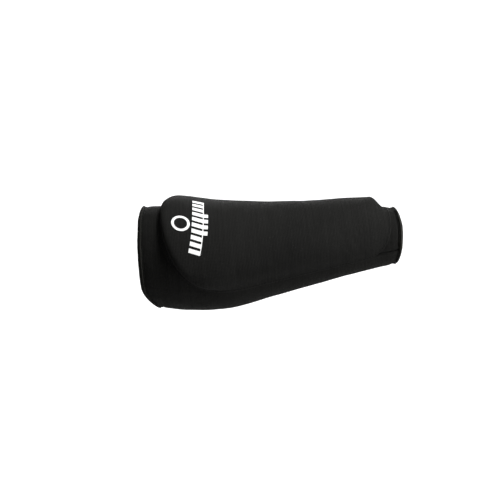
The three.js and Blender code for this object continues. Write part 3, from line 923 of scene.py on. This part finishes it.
def blank_label():
    """A blank woven ribbon folded in half and sewn into the seam. Its fold lifts a little off the sleeve."""
    low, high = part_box("care_label")
    steps, reach, fold = LABEL["steps"], LABEL["reach"], LABEL["fold"]
    x = np.linspace(low.x, high.x, steps)[:, None]
    t = np.linspace(0, 1, 30)
    upper = np.stack([t * reach, 0.00034 + 0.0006 * t**2], -1)
    turn = np.radians(np.linspace(-90, 90, 9)[1:-1])
    tip = np.stack([reach + fold * np.cos(turn), 0.00092 + fold * np.sin(turn)], -1)
    lower = upper[::-1] + [0, 0.00062]
    line = np.vstack([upper, tip, lower])
    run = np.gradient(line, axis=0)
    run /= np.linalg.norm(run, axis=1, keepdims=True)
    side = np.stack([run[:, 1], -run[:, 0]], -1) * LABEL["thick"] / 2
    section = np.vstack([line + side, (line - side)[::-1]])
    curl = 1 + LABEL["curl"] * ((x - low.x) / (high.x - low.x)) ** 2
    offset = LABEL["offset"] + section[None, :, 0]
    depth = section[None, :, 1] * curl
    angle = seam_angle(x) + degrees_of(offset, x)
    points = place(x + 0 * offset, angle, INNER - depth)
    size = len(section)
    faces, _ = grid_faces(steps, size, False, True)
    half = size // 2
    caps = []
    for start, flip in ((0, True), ((steps - 1) * size, False)):
        for k in range(half - 1):
            quad = [start + k, start + k + 1, start + size - 2 - k, start + size - 1 - k]
            caps.append(quad[::-1] if flip else quad)
    uvs = np.stack(np.broadcast_arrays(x, offset), -1).reshape(-1, 2)
    obj = mesh_of("blank_label", points.reshape(-1, 3), [list(f)[::-1] for f in faces] + caps, uvs, SATIN)
    return face_out(obj)


# ---- Print ----

FILM, FILM_GAP = 0.00022, 0.00004
RAY_START = 0.1
RING = {"angle": 57.6, "radii": (0.0066, 0.0092)}


class Cover:
    """Finds the finished cover's outer face along rays from the forearm's axis."""

    def __init__(self, panel):
        self.tree = BVHTree.FromObject(panel, bpy.context.evaluated_depsgraph_get())

    def lay(self, x, angle, lift):
        points = []
        for px, pa, pl in zip(*(v.ravel() for v in np.broadcast_arrays(x, angle, lift))):
            turn = math.radians(pa)
            out = Vector((0, -math.sin(turn), math.cos(turn)))
            start = Vector((px, 0, -float(drop_at(px)))) + out * RAY_START
            hit, _, _, _ = self.tree.ray_cast(start, -out)
            points.append(hit + out * pl)
        return np.array([tuple(p) for p in points])


def film(name, cover, x, angle, faces):
    """A printed film: cells of a grid of places laid on the cover, closed to a thin solid."""
    top = cover.lay(x, angle, FILM)
    bottom = cover.lay(x, angle, FILM_GAP)
    used = sorted({int(i) for f in faces for i in f})
    index = {v: k for k, v in enumerate(used)}
    count = len(used)
    points = np.vstack([top[used], bottom[used]])
    edges, solid = [], []
    for face in faces:
        f = [index[int(i)] for i in face]
        solid += [f, [i + count for i in reversed(f)]]
        edges += zip(f, f[1:] + f[:1])
    paired = set(edges)
    solid += [[b, a, a + count, b + count] for a, b in edges if (b, a) not in paired]
    uvs = np.stack([x.ravel()[used], np.radians(angle.ravel()[used]) * COVER_RADIUS], -1)
    return face_out(mesh_of(name, points, solid, np.vstack([uvs, uvs]), PRINT, smooth=False))


def white_ring(cover):
    low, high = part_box("print_ring")
    centre_x = (low.x + high.x) / 2
    turns = np.linspace(0, 2 * math.pi, 96, endpoint=False)
    radii = np.linspace(*RING["radii"], 5)
    turn, radius = np.meshgrid(turns, radii, indexing="ij")
    x = centre_x + radius * np.cos(turn)
    angle = RING["angle"] + np.degrees(radius * np.sin(turn) / (radius_at(centre_x) + PAD["height"]))
    faces, _ = grid_faces(len(turns), len(radii), True, False)
    return film("white_ring", cover, x, angle, faces)


# Strokes: angles of the first and last, the line that joins them and how it bends, the strokes' lengths on
# its two sides, their lean in degrees, and how much of each step is printed.
STROKES = {
    "from": 27,
    "to": 89,
    "x": 0.0616,
    "bend": 0.0073,
    "long": 0.0105,
    "short": 0.0042,
    "line": 0.0009,
    "lean": 2.2,
    "count": 10,
    "share": 0.62,
    "short_ones": (3, 6),
}


def white_strokes(cover):
    parts, gap_parts, line_row = 5, 3, 8
    pitch = (STROKES["to"] - STROKES["from"]) / STROKES["count"]
    edges = np.concatenate([
        np.linspace(-STROKES["long"], 0, line_row + 1),
        [STROKES["line"]],
        STROKES["line"] + np.linspace(0, STROKES["short"], 5)[1:],
    ])
    starts = STROKES["from"] + pitch * np.arange(STROKES["count"])
    columns = []
    share = STROKES["share"]
    printed = share * np.arange(parts) / parts
    bare = share + (1 - share) * np.arange(gap_parts) / gap_parts
    for k, start in enumerate(starts):
        columns += list(start + pitch * printed)
        if k < STROKES["count"] - 1:
            columns += list(start + pitch * bare)
    columns.append(starts[-1] + pitch * share)
    columns = np.array(columns)
    edge, column = np.meshgrid(edges, columns, indexing="ij")
    down = (column - STROKES["from"]) / (STROKES["to"] - STROKES["from"])
    lean = np.where(edge < 0, edge / STROKES["long"] * STROKES["lean"], 0)
    x = STROKES["x"] - STROKES["bend"] * down**3 + edge
    faces, places = grid_faces(len(edges), len(columns))
    kept = []
    for face, corners in zip(faces, places):
        i, j = corners[0]
        stroke, within = divmod(j, parts + gap_parts)
        on = within < parts
        first, last = STROKES["short_ones"]
        if i == line_row or (on and (i < line_row or first <= stroke <= last)):
            kept.append(face)
    return film("white_strokes", cover, x, column + lean, kept)


# ---- Build ----

tube = sleeve()
elbow_cuff = hem_piece("elbow_cuff", HEMS["elbow"])
wrist_cuff = hem_piece("wrist_cuff", HEMS["wrist"])
elbow_band = hem_band("elbow_band", HEMS["elbow"])
wrist_band = hem_band("wrist_band", HEMS["wrist"])
elbow_stitches = stitched("elbow_stitches", hem_route(HEMS["elbow"], 0.0005), THREAD)
wrist_stitches = stitched("wrist_stitches", hem_route(HEMS["wrist"], 0.0005), THREAD)
panel = pad_panel()
slab = foam_slab()
edge_x, edge_angle = outline(FLANGE, 0.55)
edge_route = np.stack([edge_x, edge_angle, cover_height(edge_x, edge_angle) - 0.0001], -1)
edge_stitches = stitched("pad_edge_stitches", edge_route, THREAD)
allowance = seam_allowance()
loops = overlock()
label = blank_label()
cover = Cover(panel)
ring = white_ring(cover)
strokes = white_strokes(cover)

PIECES = [
    (tube, "base_sleeve", "sleeve_knit"),
    (elbow_cuff, "elbow_hem", "hem_knit"),
    (wrist_cuff, "wrist_hem", "hem_knit"),
    (elbow_band, "elbow_elastic", "elastic"),
    (wrist_band, "wrist_elastic", "elastic"),
    (elbow_stitches, "elbow_hem_thread", "sewing_thread"),
    (wrist_stitches, "wrist_hem_thread", "sewing_thread"),
    (panel, "pad_cover", "panel_knit"),
    (slab, "foam_pad", "foam"),
    (edge_stitches, "pad_edge_thread", "sewing_thread"),
    (allowance, "closing_seam", "sleeve_knit"),
    (loops, "closing_seam_thread", "sewing_thread"),
    (label, "care_label", "label_white"),
    (ring, "print_ring", "print_white"),
    (strokes, "print_strokes", "print_white"),
]
for piece, node, slot in PIECES:
    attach(piece, "root")
    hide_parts(node)


# ---- Stage, light and camera ----


def studio():
    """A pale seamless sweep, well below and behind the guard, its wall glowing white straight behind it."""
    wide, floor, back, bend = 14.0, -0.75, 2.2, 0.8
    turn = np.radians(np.linspace(0, 90, 13))
    line = [(-14.0, floor), (-1.0, floor)]
    line += [(back - bend + bend * math.sin(t), floor + bend - bend * math.cos(t)) for t in turn]
    line += [(back, 4.5)]
    points = [(x, y, z) for y, z in line for x in (-wide, wide)]
    faces = [[2 * k, 2 * k + 1, 2 * k + 3, 2 * k + 2] for k in range(len(line) - 1)]
    sweep = mesh_of("studio_sweep", points, faces)
    material, nodes, links, shader = new_material("studio_white")
    away = nodes.new("ShaderNodeVectorMath")
    away.operation = "DISTANCE"
    away.inputs[1].default_value = (0.1, back, 0)
    links.new(nodes.new("ShaderNodeTexCoord").outputs["Object"], away.inputs[0])
    lit = nodes.new("ShaderNodeMapRange")
    set_inputs(lit, {"From Min": 1.25, "From Max": 1.9, "To Min": 0.95, "To Max": 0.1})
    links.new(away.outputs["Value"], lit.inputs["Value"])
    set_inputs(shader, {"Base Color": (0.36, 0.36, 0.36, 1), "Emission Color": (1, 1, 1, 1)})
    set_inputs(shader, {"Roughness": 1, "Specular IOR Level": 0})
    links.new(lit.outputs[0], shader.inputs["Emission Strength"])
    sweep.data.materials.append(material)


def soft_light(name, location, target, size, power):
    light = bpy.data.lights.new(name, "AREA")
    light.shape = "RECTANGLE"
    light.size, light.size_y = size
    light.energy = power
    obj = bpy.data.objects.new(name, light)
    obj.location = location
    obj.rotation_euler = (Vector(target) - Vector(location)).to_track_quat("-Z", "Y").to_euler()
    bpy.context.scene.collection.objects.link(obj)


CAMERA = {"at": (0.1057, -1.050, -0.0025), "roll": 4.8, "lens": 71.66, "sensor": 36}


def photo_camera():
    roll = math.radians(CAMERA["roll"])
    data = bpy.data.cameras.new("photo_camera")
    data.sensor_width = CAMERA["sensor"]
    data.lens = CAMERA["lens"]
    obj = bpy.data.objects.new("photo_camera", data)
    right = Vector((math.cos(roll), 0, -math.sin(roll)))
    up = Vector((math.sin(roll), 0, math.cos(roll)))
    turned = Matrix((right, up, Vector((0, -1, 0)))).transposed().to_4x4()
    obj.matrix_world = Matrix.Translation(CAMERA["at"]) @ turned
    bpy.context.scene.collection.objects.link(obj)
    bpy.context.scene.camera = obj


studio()
soft_light("key_light", (1.0, -0.8, 1.5), (0.12, 0, 0), (0.6, 0.6), 50)
soft_light("side_light", (1.8, -0.5, 0.3), (0.12, 0, 0), (0.6, 0.6), 14)
soft_light("low_light", (0.62, -0.3, -0.4), (0.24, 0, 0), (0.3, 0.3), 2.4)
soft_light("rim_light", (0.45, 0.7, 1.45), (0.12, 0, 0), (0.6, 0.6), 5)
soft_light("back_light", (0.3, 1.8, 1.1), (0.12, 0, 0), (0.8, 0.8), 30)
photo_camera()
world = bpy.data.worlds.new("studio_world")
world.use_nodes = True
set_inputs(world.node_tree.nodes["Background"], {"Color": (1, 1, 1, 1), "Strength": 0.15})
bpy.context.scene.world = world
bpy.context.scene.view_settings.view_transform = "Standard"
